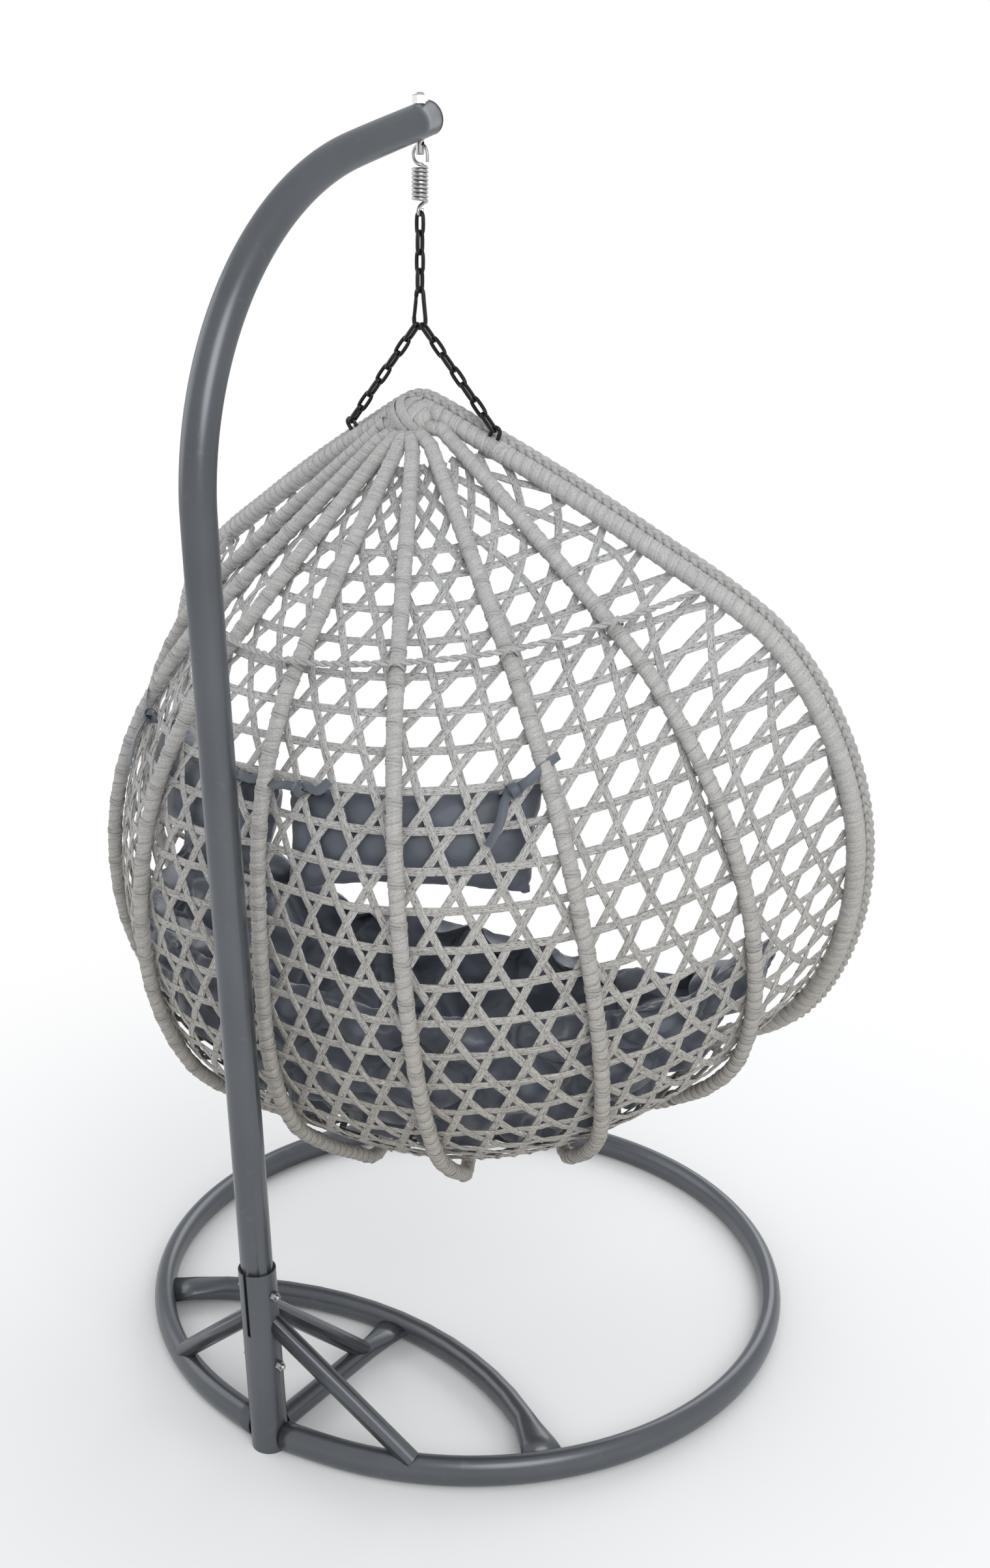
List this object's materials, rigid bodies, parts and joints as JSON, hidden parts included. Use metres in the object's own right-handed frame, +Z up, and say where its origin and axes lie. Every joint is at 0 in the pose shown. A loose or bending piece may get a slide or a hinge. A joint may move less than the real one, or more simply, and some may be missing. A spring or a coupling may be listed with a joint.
{
  "type": "hanging egg chair",
  "caption": "Wide woven egg-shaped hanging seat with tufted cushion and head pillows, hung by a spring and chain from a bent tube mast on a round floor stand.",
  "frame": {"origin": "on the floor, under the middle of the plan box of the whole part", "axes": "+Z up; the mast stands on the +Y side and the basket opens to -Y; X runs across the basket, about which the part is symmetric in shape"},
  "size_m": [1.3158, 1.1788, 1.9341],
  "materials": {
    "powder_coat": "satin slate-grey powder coat on steel tube",
    "cap_plastic": "moulded slate-grey end plug",
    "zinc_plate": "bright zinc-plated steel",
    "black_chain": "gloss black coated steel",
    "wrapped_strand": "weathered light-grey flat synthetic strand wrapped round steel wire",
    "woven_strand": "weathered light-grey flat synthetic strand, openly woven",
    "slate_cloth": "slate-blue woven polyester cloth"
  },
  "bodies": {
    "stand": {"base_ring": "powder_coat", "arc_brace": "powder_coat", "radial_strut": "powder_coat", "mast_socket": "powder_coat", "mast": "powder_coat", "brace_left": "powder_coat", "brace_right": "powder_coat", "brace_centre": "powder_coat", "arm_end_cap": "cap_plastic", "socket_bolt_upper": "zinc_plate", "socket_bolt_lower": "zinc_plate", "socket_nut_upper": "zinc_plate", "socket_nut_lower": "zinc_plate", "hanger_eye_bolt": "zinc_plate", "hanger_nut": "zinc_plate"},
    "spring": {"coil_spring": "zinc_plate"},
    "first_link": {"top_link_1": "black_chain"},
    "top_chain": {"top_link_2": "black_chain", "top_link_3": "black_chain", "top_link_4": "black_chain"},
    "snap_hook": {"snap_hook_body": "black_chain", "side_link_right_1": "black_chain", "side_link_right_2": "black_chain", "side_link_right_3": "black_chain", "side_link_right_4": "black_chain", "side_link_right_5": "black_chain", "side_link_right_6": "black_chain", "side_link_right_7": "black_chain", "side_link_left_1": "black_chain", "side_link_left_2": "black_chain", "side_link_left_3": "black_chain", "side_link_left_4": "black_chain", "side_link_left_5": "black_chain", "side_link_left_6": "black_chain", "side_link_left_7": "black_chain"},
    "snap_gate": {"snap_hook_gate": "black_chain"},
    "basket": {"anchor_staple_right": "black_chain", "anchor_staple_left": "black_chain", "basket_rim": "wrapped_strand", "rim_braid": "wrapped_strand", "peak_binding": "wrapped_strand", "belt_wire": "wrapped_strand", "rib_1": "wrapped_strand", "rib_2": "wrapped_strand", "rib_3": "wrapped_strand", "rib_4": "wrapped_strand", "rib_5": "wrapped_strand", "rib_6": "wrapped_strand", "rib_7": "wrapped_strand", "weave_left_front": "woven_strand", "weave_left_back": "woven_strand", "weave_right_back": "woven_strand", "weave_right_front": "woven_strand", "weave_floor": "woven_strand", "seat_cushion": "slate_cloth", "head_pillow_right": "slate_cloth", "head_pillow_left": "slate_cloth"}
  },
  "joints": [
    {"name": "swing_fore_aft", "type": "hinge", "parent": "stand", "child": "spring", "pos_m": [0, 0.1002, 1.8654], "axis": [1, 0, 0], "range_deg": [-18, 0.5]},
    {"name": "spring_stretch", "type": "slide", "parent": "spring", "child": "first_link", "axis": [0, 0, -1], "range_m": [0, 0.03], "stiffness_N_per_m": 60000, "springref_m": -0.0035, "deforming": ["coil_spring"]},
    {"name": "swing_side", "type": "hinge", "parent": "first_link", "child": "top_chain", "pos_m": [0, 0.1002, 1.7527], "axis": [0, 1, 0], "range_deg": [-4, 4]},
    {"name": "swivel", "type": "hinge", "parent": "top_chain", "child": "snap_hook", "pos_m": [0, 0.1002, 1.6757], "axis": [0, 0, 1], "range_deg": [-8, 8]},
    {"name": "gate_pivot", "type": "hinge", "parent": "snap_hook", "child": "snap_gate", "pos_m": [0.0099, 0.1002, 1.6359], "axis": [0, 1, 0], "range_deg": [-14, 0], "stiffness_Nm_per_rad": 0.05, "springref_deg": 17.19},
    {"name": "tilt", "type": "hinge", "parent": "snap_hook", "child": "basket", "pos_m": [0, 0.0974, 1.487], "axis": [1, 0, 0], "range_deg": [-5, 0]}
  ]
}
